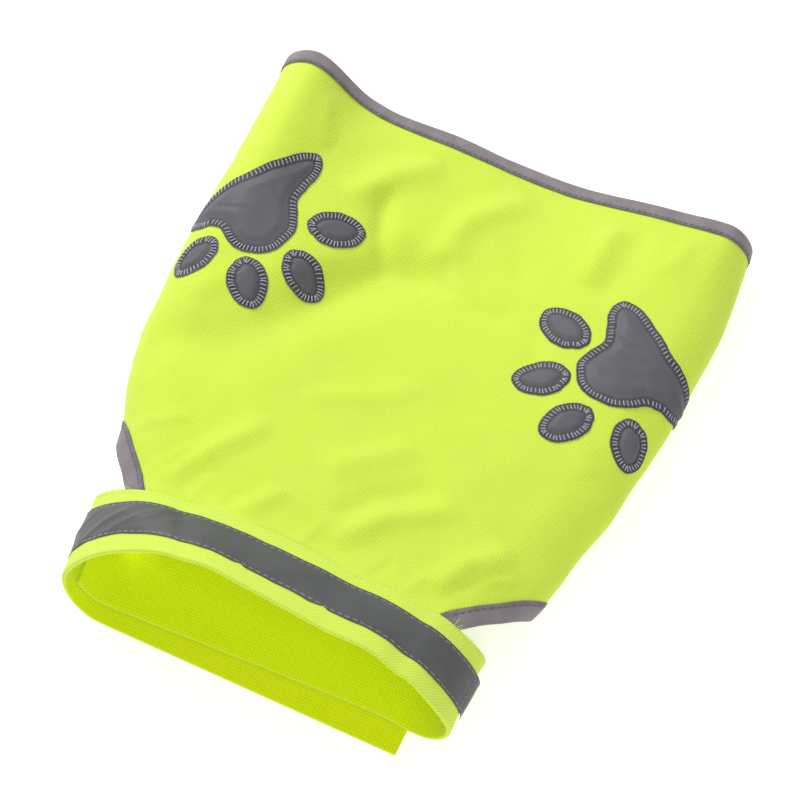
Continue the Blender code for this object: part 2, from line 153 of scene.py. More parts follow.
CREASES = (
    ("left leg, upper", 3.0, 0.9, ((-91, -60), (-80, -56), (-66, -48))),
    ("left leg, lower", 2.6, 0.8, ((-73, -82), (-66, -74), (-60, -62))),
    ("right leg, lower", 2.4, 0.8, ((72, -74), (77, -66), (86, -58))),
    ("right leg, upper", 2.6, -0.7, ((66, -80), (72, -72), (79, -64))),
    ("seam, far left", 2.4, 0.7, ((-48, -94), (-46, -86), (-45, -76))),
    ("seam, left", 2.4, -0.6, ((-33, -94), (-31, -86), (-30, -78))),
    ("seam, middle", 2.6, 0.7, ((2, -94), (4, -86), (7, -75))),
    ("seam, right", 2.4, -0.6, ((35, -94), (38, -86), (40, -78))),
    ("seam, far right", 2.4, 0.6, ((50, -94), (52, -86), (54, -78))),
    ("slack, left side", 6.0, 1.2, ((-96, 8), (-84, 26), (-66, 40))),
    ("slack, right side", 6.0, 1.1, ((96, 2), (84, 18), (66, 30))),
    ("dent, left toes", 5.0, -1.0, ((-60, 36), (-50, 44), (-44, 56))),
    ("dent, right paw", 5.0, -1.0, ((44, 66), (48, 50), (54, 38))),
    ("hem, left", 4.0, 0.9, ((-92, 132), (-88, 118), (-80, 106))),
    ("hem, right", 4.0, 0.9, ((92, 132), (88, 118), (80, 104))),
    ("hollow, left toes", 8.0, -1.8, ((-58, 24), (-42, 44), (-32, 64))),
    ("hollow, middle", 5.0, -1.4, ((-32, 68), (-9, 66), (10, 63))),
    ("hollow, right paw", 5.0, -0.9, ((4, 60), (22, 61), (34, 64))),
    ("hollow, left toes, rear", 5.0, -1.1, ((-46, 106), (-42, 88), (-40, 72))),
    ("hollow, hem", 6.0, -0.9, ((12, 106), (24, 90), (32, 76))),
    ("ridge, middle", 5.0, 0.9, ((-36, 86), (-14, 81), (4, 88))),
    ("ridge, in front of it", 5.0, 0.9, ((-28, -16), (-8, -3), (16, 12))),
    ("belly, left", 5.0, 0.8, ((-150, 20), (-170, 34), (-196, 40))),
    ("belly, right", 5.0, 0.8, ((150, 60), (170, 48), (196, 44))),
)

# The paws: name, side, s and y of the pad's centre, the way its toes point, in degrees from -Y
# towards the middle, and how far the pad is pulled askew.
PAWS = (
    ("left", -1, 95.0, 66.0, 41.0, 0.18),
    ("right", 1, 95.0, 63.0, 41.0, -0.13),
)
PAD_HALF_WIDTH = 29.0
PAD_HALF_LENGTH = 21.5
PAD_LOBES = 0.27
PAD_FRONT = 0.12
PAD_REAR = 17.0
# The toes, from the pad's centre: across, along, turn in degrees, length and width.
TOES = (
    (-31.5, 23.0, -70.0, 25.5, 17.5),
    (-12.5, 43.0, -20.0, 24.5, 17.0),
    (12.5, 43.0, 5.0, 24.5, 17.0),
    (31.5, 22.5, 66.0, 23.5, 16.5),
)

# The tape: soft waves across it, s and height, and the nicks in its front edge.
TAPE_WAVES = (
    (-112.0, 0.32), (-92.0, 0.46), (-78.0, 0.42), (-64.0, 0.3), (-8.0, 0.2), (44.0, 0.2),
)
TAPE_NICKS = (-13.0, 24.5)

# Creases of the pads, across and along each: the paw, then as in the tables above.
PAD_CREASES = (
    ("right", "from the notch", 0.9, -0.5, ((-19, 6), (-11, 3), (-4, -3))),
    ("right", "under it", 0.8, -0.35, ((-14, 10), (-7, 7), (0, 4))),
    ("right", "across the middle", 2.2, 0.3, ((-6, 16), (2, 6), (6, -6))),
    ("right", "at the far notch", 1.4, -0.3, ((16, 8), (9, 5), (4, 6))),
    ("left", "beside the notch", 0.9, -0.5, ((-14, 12), (-10, 4), (-8, -4))),
    ("left", "across the lobe", 1.8, 0.3, ((-6, 20), (0, 12), (4, 2))),
    ("left", "towards the fold", 1.4, -0.3, ((4, 8), (12, 4), (20, -2))),
)

# The finer cloth that shows: thin walls inside the walls above.
CLOTH = 0.55
BIND_CLOTH = 0.45
TAPE_CLOTH = 0.3
PATCH_CLOTH = 0.35
BAND_HALF = 0.75          # from the middle of the doubled band to the middle of each layer
BIND_HALF = 0.6
TUCK = 6.5                # how far the body's edges run on inside the leg bindings
NECK_TUCK = 3.0           # and under the neck band
HEM_TUCK = 1.2            # where the body ends, in from the hem's fold
LEG_START = 65.8          # where the leg bindings start, under the neck band
STRIP_CUT = 17.0          # width of a binding before it is folded

# How many points each piece has, along or round it and across.
BODY_GRID, BAND_GRID = (290, 150), (420, 34)
PAD_MESH, TOE_MESH = (170, 34), (90, 18)
HEM_POINTS, LEG_POINTS, STRIP_STEPS = 300, 220, 7

# The patches: height of the border, depth of the groove inside it, and how high and over what
# width the middle puffs up.
PATCH_LIFT, PATCH_GROOVE = 0.58, 0.14
PAD_PUFF, TOE_PUFF = (1.15, 5.0), (0.85, 2.2)
PAD_DENT = 0.2

# The sewing: half each thread's thickness, how far in from an edge it is, and its pitch.
THREADS = dict(hem=0.19, leg=0.25, tape=0.135, band=0.13, tack=0.42, satin=0.36, loop=0.34)
HEM_SEAM, HEM_PITCH = 1.3, 2.8
LEG_SEAM, LEG_PITCHES = 1.7, {"left": 2.85, "right": 3.6}
TAPE_END_SEAM, TAPE_END_PITCH = 5.5, 2.4
BAND_SEAM, BAND_PITCH = 2.2, 3.0
TACK_S = (-109.0, -109.6, -110.3)
TACK_ENDS = ((0.0, 10.5), (0.6, 14.0))      # lean along s, distance from the rim
ARCH_S, ARCH_HALF = -75.5, 2.2
LOOSE_THREADS = ((73.5, 0.2, 3.4), (74.6, 1.6, 2.4), (75.4, 1.2, 1.6))      # s, lean, rise
OVERRUN = 0.15            # share of a stitch by which it runs on into the next


def smooth(value):
    value = np.clip(value, 0.0, 1.0)
    return value * value * (3.0 - 2.0 * value)


def pairs(first, second):
    """Two lists of numbers as the two columns of one array."""
    return np.stack([np.ravel(first), np.ravel(second)], axis=1)


def gone_by(first, second):
    """Distance gone along a line at each of its points, given by its two coordinates."""
    return np.concatenate([[0.0], np.cumsum(np.hypot(np.diff(first), np.diff(second)))])


def through(places, values, at, flat_ends=False):
    """A smooth curve through the values, read at each place in at."""
    places, values, at = (np.asarray(a, float) for a in (places, values, at))
    gaps = np.diff(places)
    rises = np.diff(values) / gaps
    slopes = np.zeros(len(places))
    slopes[1:-1] = (rises[:-1] * gaps[1:] + rises[1:] * gaps[:-1]) / (gaps[:-1] + gaps[1:])
    if not flat_ends:
        slopes[0], slopes[-1] = rises[0], rises[-1]
    k = np.clip(np.searchsorted(places, at) - 1, 0, len(gaps) - 1)
    t = (at - places[k]) / gaps[k]
    start = values[k] * (2 * t**3 - 3 * t**2 + 1) + gaps[k] * slopes[k] * (t**3 - 2 * t**2 + t)
    end = values[k + 1] * (3 * t**2 - 2 * t**3) + gaps[k] * slopes[k + 1] * (t**3 - t**2)
    return start + end


def read_grid(grid, rows, columns):
    """Values between a grid's points, on a smooth curve through them each way."""
    rows = np.clip(rows, 1.0, grid.shape[0] - 2.001)
    columns = np.clip(columns, 1.0, grid.shape[1] - 2.001)
    row, column = rows.astype(int), columns.astype(int)

    def shares(t):
        return (
            (-t + 2 * t**2 - t**3) / 2, (2 - 5 * t**2 + 3 * t**3) / 2,
            (t + 4 * t**2 - 3 * t**3) / 2, (-t**2 + t**3) / 2,
        )

    total = 0.0
    for i, down in enumerate(shares(rows - row)):
        for j, across in enumerate(shares(columns - column)):
            total += down * across * grid[row + i - 1, column + j - 1]
    return total


def clear_of_left_fold(size, x, wall):
    """Height at which a second layer lies clear of the left fold's lower quarter."""
    mid = size["left_mid"]
    run = min(size["left_run"], UNDER_RUN * mid)
    share = np.clip(1.0 - (x - size["middle"] + size["half"]) / run, 0.0, 0.99)
    rise = np.sqrt(1.0 - share**2)
    slope = (mid - wall / 2) * share / (run * rise)
    return mid - (mid - wall / 2) * rise + (wall + LAP_GAP) * np.hypot(1.0, slope)


def half_section(y, side, wall, ends):
    """Distance, X and Z along the middle of the wall, and the distance at which it ends.

    The half towards -X goes under first and lies on the floor. The other half lies on it.
    """
    table = np.array(SECTIONS, float)
    at = np.clip(y, table[0, 0] - 1.5, table[-1, 0] + 1.5)
    size = {n: float(through(table[:, 0], table[:, k], at)) for k, n in enumerate(SECTION_COLUMNS)}
    fold = "right" if side > 0 else "left"
    mid, top, run = size[fold + "_mid"], size[fold + "_top"], size[fold + "_run"]
    end_under, end_inside = ends
    end_inside = max(end_inside, size["middle"] - size["half"] + FOLD_CLEAR)
    outermost = size["middle"] + side * size["half"]

    def floor(x):
        if side < 0:
            return wall / 2
        lap = (wall + LAP_GAP) * smooth((end_under + LAP_CLEAR + LAP_RAMP - x) / LAP_RAMP)
        clear = clear_of_left_fold(size, x, wall)
        return np.where(x < size["middle"], np.maximum(wall / 2 + lap, clear), wall / 2 + lap)

    left = size["middle"] - size["half"] + size["left_run"]
    right = size["middle"] + size["half"] - size["right_run"]
    places = [left] + [left + share * (right - left) for share in BACK_PLACES] + [right]
    names = ("left_top", "back_1", "back_2", "back_3", "back_4", "right_top")
    turn = np.linspace(0.0, pi / 2, LOOP_STEPS)
    x_top = np.linspace(size["middle"], outermost - side * run, LOOP_STEPS)
    z_top = through(places, [size[name] for name in names], x_top, flat_ends=True)
    x_upper = outermost - side * run * (1 - np.sin(turn) ** (2 / size["power"]))
    z_upper = mid + (top - mid) * np.cos(turn) ** (2 / size["power"])
    under = min(run, UNDER_RUN * mid)
    x_lower = outermost - side * under * (1 - np.cos(turn))
    z_lower = mid - (mid - floor(x_lower[-1])) * np.sin(turn)
    end = end_inside if side > 0 else end_under
    x_under = np.linspace(x_lower[-1], end, LOOP_STEPS)
    z_under = floor(x_under) * np.ones(LOOP_STEPS)
    x = np.concatenate([x_top, x_upper[1:], x_lower[1:], x_under[1:]])
    z = np.concatenate([z_top, z_upper[1:], z_lower[1:], z_under[1:]])
    lengths = gone_by(x, z)
    beyond = 60.0
    way = np.array([x[-1] - x[-2], z[-1] - z[-2]]) / (lengths[-1] - lengths[-2]) * beyond
    x, z = np.append(x, x[-1] + way[0]), np.append(z, z[-1] + way[1])
    return np.append(lengths, lengths[-1] + beyond), x, z, lengths[-1]


def ridges(rows, s, y):
    """Height of a table's folds at each place."""
    here = pairs(s, y)
    total = np.zeros(len(here))
    for _, width, height, path in rows:
        path = np.array(path, float)
        lengths = np.linalg.norm(np.diff(path, axis=0), axis=1)
        nearest = np.full(len(here), 1e9)
        along = np.zeros(len(here))
        for k, length in enumerate(lengths):
            way = (path[k + 1] - path[k]) / length
            t = np.clip((here - path[k]) @ way, 0.0, length)
            distance = np.linalg.norm(here - path[k] - t[:, None] * way, axis=1)
            closer = distance < nearest
            nearest = np.where(closer, distance, nearest)
            along = np.where(closer, (lengths[:k].sum() + t) / lengths.sum(), along)
        fade = 1.0 - (2.0 * along - 1.0) ** 4
        total += height * fade * np.exp(-((nearest / width) ** 2))
    return total


class Cloth:
    """One layer of cloth as it lies, worked out on a grid of ROW by one millimetre."""

    ROW = 2.0
    FIRST = -152.0
    LAST = 164.0
    REACH = 320.0
    NEAR = 1.2

    def __init__(self, wall, ends):
        self.rows = np.arange(self.FIRST, self.LAST, self.ROW)
        self.places = np.arange(-self.REACH, self.REACH + 1.0)
        self.x = np.zeros((len(self.rows), len(self.places)))
        self.z = np.zeros_like(self.x)
        self.ends = {}
        for side in (-1, 1):
            found = [half_section(y, side, wall, ends) for y in self.rows]
            self.ends[side] = np.array([row[3] for row in found])
            mine = self.places * side >= 0
            for k, (lengths, x, z, _) in enumerate(found):
                self.x[k, mine] = np.interp(np.abs(self.places[mine]), lengths, x)
                self.z[k, mine] = np.interp(np.abs(self.places[mine]), lengths, z)
        noise = np.random.default_rng(5)
        self.slack = noise.normal(0.0, 1.0, (40, 60))
        self.crumple = noise.normal(0.0, 1.0, (90, 140))

    def reach(self, y, side):
        return np.interp(y, self.rows, self.ends[side])

    def bare(self, s, y):
        row, column = (y - self.FIRST) / self.ROW, s + self.REACH
        x, z = read_grid(self.x, row, column), read_grid(self.z, row, column)
        lean = through(*np.array(LEAN).T, np.clip(y, -140.0, 150.0))
        return np.stack([x, y + lean * z, z], axis=1)

    def normal(self, s, y):
        across = self.bare(s + self.NEAR, y) - self.bare(s - self.NEAR, y)
        along = self.bare(s, y + self.NEAR) - self.bare(s, y - self.NEAR)
        out = np.cross(across, along)
        return out / np.linalg.norm(out, axis=1)[:, None]

    def waves(self, noise, s, y, along, around):
        """Smooth noise with waves so many millimetres long along the tube and round it."""
        return read_grid(noise, (y + 160.0) / along + 1, (s + 330.0) / around + 1)

    def free(self, s, y):
        """1 where the cloth is free to wave, fading to 0 where it rests on the floor."""
        return smooth((self.bare(s, y)[:, 2] - FREE_FROM) / FREE_RUN)

    def lift(self, s, y):
        """How far the folds, the creases and the cloth's small unevenness lift it."""
        slack = self.waves(self.slack, s, y, 17.0, 19.0)
        crumple = self.waves(self.crumple, s, y, 6.5, 7.5)
        uneven = 0.34 * slack + 0.07 * crumple
        return (ridges(FOLDS, s, y) + ridges(CREASES, s, y) + uneven) * self.free(s, y)

    def point(self, s, y, out):
        """Points on the cloth, so many millimetres out from the middle of its wall, in metres."""
        s, y = np.ravel(s), np.ravel(y)
        out = np.ravel(out) * np.ones(len(s)) + self.lift(s, y)
        points = self.bare(s, y) + self.normal(s, y) * out[:, None]
        return (points - (MIDDLE_X, MIDDLE_Y, 0.0)) * MM


class BandCloth(Cloth):
    """The neck band, which is doubled and stiffer, so that only soft waves show in it."""

    def lift(self, s, y):
        return 0.22 * self.waves(self.slack, s, y, 26.0, 15.0) * self.free(s, y)


BODY = Cloth(BODY_WALL, (FLAP_END_UNDER, FLAP_END_INSIDE))
EDGE = Cloth(BINDING_WALL, (FLAP_END_UNDER, FLAP_END_INSIDE))
BAND = BandCloth(BAND_WALL, (BAND_END_UNDER, BAND_END_INSIDE))


def leg_cut(s):
    """The y of the body's cut edge at the leg openings, and how steeply it runs there."""
    places, values = np.array(LEG_CUT).T
    s = np.minimum(np.abs(s), places[-1])
    inside = np.maximum(s, places[0])
    slope = through(places, values, inside + 0.5) - through(places, values, inside - 0.5)
    return through(places, values, inside) + slope * (s - inside), slope


def band_twist(s):
    gain = BAND_TWIST * smooth((s - TWIST_START) / TWIST_RUN)
    return gain - TWIST_LOSS * smooth((s - LOSS_START) / LOSS_RUN)


# --- materials


class Socket:
    """A shader socket or number on which sums can be written as in plain Python."""

    def __init__(self, nodes, value):
        self.nodes, self.value = nodes, value

    def sum(self, kind, *others):
        return self.nodes.add("ShaderNodeMath", {"operation": kind}, self, *others)

    def __add__(self, other):
        return self.sum("ADD", other)

    def __sub__(self, other):
        return self.sum("SUBTRACT", other)

    def __rsub__(self, other):
        return Socket(self.nodes, other).sum("SUBTRACT", self)

    def __mul__(self, other):
        return self.sum("MULTIPLY", other)

    __radd__, __rmul__ = __add__, __mul__

    def sine(self):
        return self.sum("SINE")

    def ramp(self, low, high):
        """0 below low, 1 above high, smooth between."""
        return self.nodes.add(
            "ShaderNodeMapRange", {"interpolation_type": "SMOOTHSTEP"}, self, low, high
        )


class Finish:
    """A material and the ways its nodes are added."""

    def __init__(self, name, roughness, specular=0.5, **sockets):
        self.material = bpy.data.materials.new(name)
        self.material.use_nodes = True
        self.tree = self.material.node_tree
        self.shader = self.tree.nodes["Principled BSDF"]
        self.shader.inputs["Roughness"].default_value = roughness
        self.shader.inputs["Specular IOR Level"].default_value = specular
        for key, value in sockets.items():
            self.shader.inputs[key.replace("_", " ").title()].default_value = value

    def add(self, kind, settings, *values, output=0, places=(), **named):
        """A node's output. Values go to its first sockets, to places or to named sockets."""
        node = self.tree.nodes.new(kind)
        for key, value in settings.items():
            setattr(node, key, value)
        named = [(key.replace("_", " "), value) for key, value in named.items()]
        for place, value in [*enumerate(values), *places, *named]:
            if isinstance(value, Socket):
                value = value.value
            if isinstance(value, bpy.types.NodeSocket):
                self.tree.links.new(value, node.inputs[place])
            else:
                node.inputs[place].default_value = value
        return Socket(self, node.outputs[output])

    def cloth_map(self):
        return self.add("ShaderNodeUVMap", {"uv_map": "cloth"})

    def cloth_place(self):
        """The piece's UV map, and its own s and y in millimetres from it."""
        uv = self.cloth_map()
        parts = self.tree.nodes.new("ShaderNodeSeparateXYZ")
        self.tree.links.new(uv.value, parts.inputs[0])
        return uv, *(Socket(self, parts.outputs[k]) * 1000.0 for k in (0, 1))

    def noise(self, vector, scale, detail=2.0):
        return self.add("ShaderNodeTexNoise", {}, Vector=vector, Scale=scale, Detail=detail)

    def mix(self, share, first, second):
        """The first colour, turning into the second by share."""
        return self.add(
            "ShaderNodeMix", {"data_type": "RGBA"}, share, output=2,
            places=((6, first), (7, second)),
        )

    def link(self, value, name):
        self.tree.links.new(value.value, self.shader.inputs[name])

    def bump(self, height, distance):
        self.link(self.add("ShaderNodeBump", {}, Distance=distance * MM, Height=height), "Normal")


def colour(values):
    return tuple(values) + (1.0,)


RIB_WAY, RIB_PITCH = (0.64, 0.77), 1.08
BINDING_RIB, BINDING_THREAD = 0.62, 0.5
FLOOR_GLOW = 0.42


def woven(name, pitch, contrast, ribs=0.0, inner_from=1e6):
    """Bright plain-woven cloth: rounded threads both ways with a small dimple between them.

    Slanting ribs lie over them by the share ribs. Past inner_from on its map the cloth is a
    layer's inner face: its brighter, more saturated colour is painted bounce light from inside
    the loop, and the dimples between its threads get more painted shade.
    """
    sizes = vest_sizes()
    sheen = dict(sheen_weight=0.18, sheen_roughness=0.5)
    look = Finish(name, 0.9, 0.12, emission_strength=sizes.painted_glow, **sheen)
    uv, s, y = look.cloth_place()
    inner = y.ramp(inner_from, inner_from + 1.0)
    # Painted bounce light: the inner face takes a brighter, more saturated colour than the outer.
    base = look.mix(inner, colour(sizes.cloth), colour(sizes.cloth_inner_bounce_light))
    drift = (look.noise(uv, 260.0) - 0.5) * 0.5
    across = (s + drift) * (pi / pitch)
    along = (y + drift) * (pi / pitch)
    ups = across.sine() * across.sine()
    rights = along.sine() * along.sine()
    hole = (1.0 - ups) * (1.0 - rights)
    slant = (s * RIB_WAY[0] + y * RIB_WAY[1] + drift) * (pi / RIB_PITCH)
    cord = slant.sine() * slant.sine()
    height = ups + rights + look.noise(uv, 3000.0) * 0.3 - hole * 0.6
    ribbed = (1.0 - inner) * ribs
    height = height * (1.0 - ribbed) + cord * ribbed * 2.4
    patchy = look.noise(uv, 45.0, 3.0).ramp(0.3, 0.7)
    fleck = look.noise(uv, 900.0, 1.0).ramp(0.56, 0.72)
    strength = contrast * (0.4 + 0.6 * patchy) + inner * 0.42
    # Painted shade: the dimples between threads and the grooves between ribs are darkened, more on
    # the inner face.
    tone = look.mix(hole.ramp(0.3, 0.9) * strength, base, colour(sizes.cloth_painted_shade))
    tone = look.mix((1.0 - cord) * ribbed * 0.5, tone, colour(sizes.cloth_painted_shade))
    # Painted highlight on the ribs' tops; the random flecks are the cloth's own lighter tone.
    tone = look.mix((cord * ribbed + fleck * 0.3) * 0.35, tone, colour(sizes.cloth_highlight_and_fleck))
    look.link(tone, "Base Color")
    # Painted glow: the cloth emits its own colour everywhere, standing in for its fluorescence and
    # for fill light.
    look.link(base, "Emission Color")
    look.bump(height, 0.06)
    return look.material


def binding_cloth(name, base, deep):
    """Taupe binding tape, fine cross ribs, painted shade between them and along its turned-in
    edge.
    """
    look = Finish(name, 0.75, sheen_weight=0.2, sheen_roughness=0.5)
    uv, s, y = look.cloth_place()
    rib = ((s + (look.noise(uv, 500.0) - 0.5) * 0.3) * (pi / BINDING_RIB)).sine()
    strand = (y * (pi / BINDING_THREAD)).sine()
    height = rib * rib + strand * strand * 0.35 + look.noise(uv, 2600.0) * 0.3
    rubbed = look.noise(uv, 120.0, 3.0).ramp(0.35, 0.7)
    # Painted shade: darker between the ribs and along the strip's first few millimetres, next to
    # the body.
    turned = 1.0 - y.ramp(0.4, 2.6)
    tone = look.mix((1.0 - rib * rib) * 0.3 + turned * 0.6, colour(base), colour(deep))
    tone = look.mix(rubbed * 0.35, tone, colour([1.45 * c for c in base]))
    look.link(tone, "Base Color")
    look.bump(height, 0.12)


def reflective(name, base, pale, roughness):
    """Dark grey reflective film on cloth, a little silvery, with painted shade in a patch's
    border.
    """
    look = Finish(name, roughness, 0.14)
    uv = look.cloth_map()
    cloud = look.noise(uv, 60.0, 4.0).ramp(0.3, 0.75)
    grain = look.noise(uv, 2600.0)
    rub = look.noise(uv, 14.0, 5.0).ramp(0.5, 0.72)
    tone = look.mix(cloud * 0.35 + grain * 0.15, colour(base), colour(pale))
    border = look.add("ShaderNodeAttribute", {"attribute_name": "border"}, output=2)
    # Painted shade: the film in a patch's border, between its stitches, is darkened.
    tone = look.mix(border * 0.6, tone, colour([0.4 * c for c in base]))
    look.link(tone, "Base Color")
    look.link(roughness - 0.06 + cloud * 0.1 + rub * 0.05, "Roughness")
    look.bump(grain * 0.25 + cloud * 0.6, 0.06)
    return look.material


def thread(name, base, pale):
    """Twisted sewing thread; the pale colour along its twist is a painted highlight."""
    look = Finish(f"{name}_thread", 0.55, sheen_weight=0.2)
    place = look.add("ShaderNodeTexCoord", {}, output=3)
    twist = look.noise(place, 2200.0)
    look.link(look.mix(twist.ramp(0.35, 0.65), colour(base), colour(pale)), "Base Color")
    look.bump(twist, 0.05)


def plain_floor():
    white = colour((1.0, 1.0, 1.0))
    look = Finish("pale_floor", 0.7, emission_color=white, emission_strength=FLOOR_GLOW)
    place = look.add("ShaderNodeTexCoord", {}, output=3)
    grain = look.noise(place, 12.0, 3.0)
    look.link(look.mix(grain * 0.15, colour([0.93] * 3), colour([0.9] * 3)), "Base Color")
    return look.material


# --- modelling


def mesh_from(name, bm):
    mesh = bpy.data.meshes.new(name)
    bm.to_mesh(mesh)
    bm.free()
    return mesh


def add_object(name, data):
    obj = bpy.data.objects.new(name, data)
    bpy.context.scene.collection.objects.link(obj)
    return obj


def finish_piece(name, bm, material, slot, replaces=(), wall=0.0, offset=0.0, even=True):
    """A named piece from a bmesh, riding on the vest's one body."""
    bm.normal_update()
    mesh = mesh_from(name, bm)
    mesh.shade_smooth()
    mesh.materials.append(material)
    obj = add_object(name, mesh)
    if wall:
        solidify = obj.modifiers.new("wall", "SOLIDIFY")
        solidify.thickness = wall * MM
        solidify.offset = offset
        solidify.use_even_offset = even
    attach(obj, "root")
    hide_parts(*replaces)
    return obj


def place_points(bm, points, uv):
    """Moves a bmesh's points to their places and gives it its cloth map."""
    layer = bm.loops.layers.uv.new("cloth")
    for vert, point in zip(bm.verts, points):
        vert.co = point
    flat = [tuple(pair) for pair in uv * MM]
    for face in bm.faces:
        for loop in face.loops:
            loop[layer].uv = flat[loop.vert.index]


def sheet_grid(cloth, s, y, out, uv=None):
    """A bmesh grid laid over rows and columns of s, y and out."""
    rows, columns = s.shape
    bm = bmesh.new()
    bmesh.ops.create_grid(bm, x_segments=columns - 1, y_segments=rows - 1, size=1.0)
    bm.verts.index_update()
    uv = pairs(s, y) if uv is None else uv
    place_points(bm, cloth.point(s, y, out), uv)
    return bm


def disc_grid(rings, count):
    """A flat round disc in so many rings, made by turning a radius through a full circle."""
    bm = bmesh.new()
    radius = [bm.verts.new((k / rings, 0.0, 0.0)) for k in range(rings + 1)]
    spokes = [bm.edges.new(pair) for pair in zip(radius, radius[1:])]
    bmesh.ops.spin(
        bm, geom=radius + spokes, axis=(0, 0, 1), cent=(0, 0, 0),
        angle=2 * pi, steps=count, use_merge=True,
    )
    bmesh.ops.remove_doubles(bm, verts=bm.verts, dist=0.0001)
    bm.verts.index_update()
    return bm


def stitches(name, ends, kind, look, slot, sides=6):
    """Many short stitches in one piece, each a long bead, joined in batches for speed."""
    radius, batch = THREADS[kind], 40
    whole = bmesh.new()
    for first in range(0, len(ends), batch):
        bm = bmesh.new()
        for start, stop in ends[first:first + batch]:
            start, stop = Vector(start), Vector(stop)
            way = stop - start
            turn = way.to_track_quat("Z", "Y").to_matrix().to_4x4()
            size = Matrix.Diagonal((radius * MM, radius * MM, way.length / 2, 1.0))
            matrix = Matrix.Translation((start + stop) / 2) @ turn @ size
            bmesh.ops.create_uvsphere(
                bm, u_segments=sides, v_segments=5, radius=1.0, matrix=matrix
            )
        few = mesh_from("few", bm)
        whole.from_mesh(few)
        bpy.data.meshes.remove(few)
    finish_piece(name, whole, bpy.data.materials[f"{look}_thread"], slot)


def row_of_stitches(cloth, s, y, out, pitch, share):
    """Ends of stitches along a line of s and y, share of each pitch showing."""
    lengths = gone_by(s, y)
    starts = np.arange(0.3, lengths[-1] - pitch * share, pitch)
    found = []
    for at in (starts, starts + pitch * share):
        here = [np.interp(at, lengths, line) for line in (s, y, out * np.ones(len(s)))]
        found.append(cloth.point(*here))
    return list(zip(*found))


def wrapped_strip(edge_s, edge_y, way_s, way_y, width):
    """A binding folded over an edge: out along its upper face, round the fold and back below.

    Returns s, y, out and its cloth map: the distance along it, and across it.
    """
    half = BIND_HALF
    bend = np.linspace(pi / 2, -pi / 2, STRIP_STEPS)
    puff = np.sin(np.linspace(0.0, pi, STRIP_STEPS))
    far = width - half
    top = np.linspace(0.0, far, STRIP_STEPS)
    back = np.linspace(far, width - BINDING_WIDTH, STRIP_STEPS)
    rows = [(d, half + 0.12 * p) for d, p in zip(top, puff)]
    rows += [(far + half * cos(b), half * sin(b)) for b in bend[1:-1]]
    rows += [(d, -half - 0.06 * p) for d, p in zip(back, puff)]
    d, out = np.array(rows).T[:, :, None]
    uv = pairs(*np.meshgrid(gone_by(edge_s, edge_y), np.linspace(0.0, STRIP_CUT, len(rows))))
    return edge_s + way_s * d, edge_y + way_y * d, out + 0.0 * edge_s, uv


# --- the pieces


def body_columns(y):
    """Distances round the tube of the body's columns, from one flap's end to the other's."""
    left, right = BODY.reach(y, -1), BODY.reach(y, 1)
    return -left + np.linspace(0.0, 1.0, BODY_GRID[0]) * (left + right)


def make_body():
    """The back, sides and belly flaps in one piece, which runs on inside all that borders it."""
    at_edge = body_columns(FLAP_Y)
    cut, slope = leg_cut(at_edge)
    under_band = SEAM_Y - NECK_TUCK
    front = np.maximum(cut - TUCK * np.hypot(1.0, slope), under_band)
    front = np.where(np.abs(at_edge) < LEG_CUT[0][0], under_band, front)
    back = HEM_Y - HEM_TUCK
    y = front + np.linspace(0.0, 1.0, BODY_GRID[1])[:, None] * (back - front)
    bm = sheet_grid(BODY, body_columns(y), y, 0.0)
    material = woven("bright_cloth", vest_sizes().weave, 0.5)
    obj = finish_piece("body_cloth", bm, material, "bright_cloth", ["body_panel"], CLOTH)


def make_hem():
    """The binding round the rear hem, a little deeper below than above, and its stitches."""
    left, right = EDGE.reach(HEM_Y, -1), EDGE.reach(HEM_Y, 1)
    edge_s = np.linspace(-left, right, HEM_POINTS)
    edge_y = np.full(HEM_POINTS, HEM_Y - HEM_WIDTH)
    bm = sheet_grid(EDGE, *wrapped_strip(edge_s, edge_y, 0.0, 1.0, HEM_WIDTH))
    look = ("grey_binding", ["hem_binding"], BIND_CLOTH)
    obj = finish_piece("hem_binding_cloth", bm, bpy.data.materials["binding"], *look)
    made = row_of_stitches(EDGE, edge_s, edge_y + HEM_SEAM, BIND_HALF + 0.32, HEM_PITCH, 0.72)
    stitches("hem_stitches", made, "hem", "taupe", "grey_binding")


def make_leg(name, side):
    """A leg opening's binding. Its front end is pressed flat and runs in under the neck band."""
    end = EDGE.reach(FLAP_Y - BINDING_WIDTH, side)
    around = LEG_START + np.linspace(0.0, 1.0, LEG_POINTS) ** 1.2 * (end - LEG_START)
    cut, slope = leg_cut(around)
    size = np.hypot(1.0, slope)
    way_s, way_y = slope / size, -1.0 / size
    s, y, out, uv = wrapped_strip(around, cut, way_s, way_y, BINDING_WIDTH)
    out = out * (0.3 + 0.7 * smooth((y - SEAM_Y + 0.5) / 4.0))
    s = np.minimum(s, end) * side
    order = slice(None, None, -side)
    uv = uv.reshape(s.shape + (2,))[:, order].reshape(-1, 2)
    bm = sheet_grid(EDGE, s[:, order], y[:, order], out[:, order], uv)
    if side < 0:
        bmesh.ops.recalc_face_normals(bm, faces=bm.faces)
    obj = finish_piece(
        f"leg_binding_cloth_{name}", bm, bpy.data.materials["binding"], "grey_binding",
        [f"leg_binding_{name}"], BIND_CLOTH, even=False,
    )
    line_s, line_y = around + way_s * LEG_SEAM, cut + way_y * LEG_SEAM
    seen = line_y > SEAM_Y + 3.0
    line = (side * line_s[seen], line_y[seen], BIND_HALF + 0.36)
    made = row_of_stitches(EDGE, *line, LEG_PITCHES[name], 0.74)
    stitches(f"leg_stitches_{name}", made, "leg", "taupe", "grey_binding")


def band_place(from_rim, s):
    return RIM_Y + from_rim + band_twist(s)


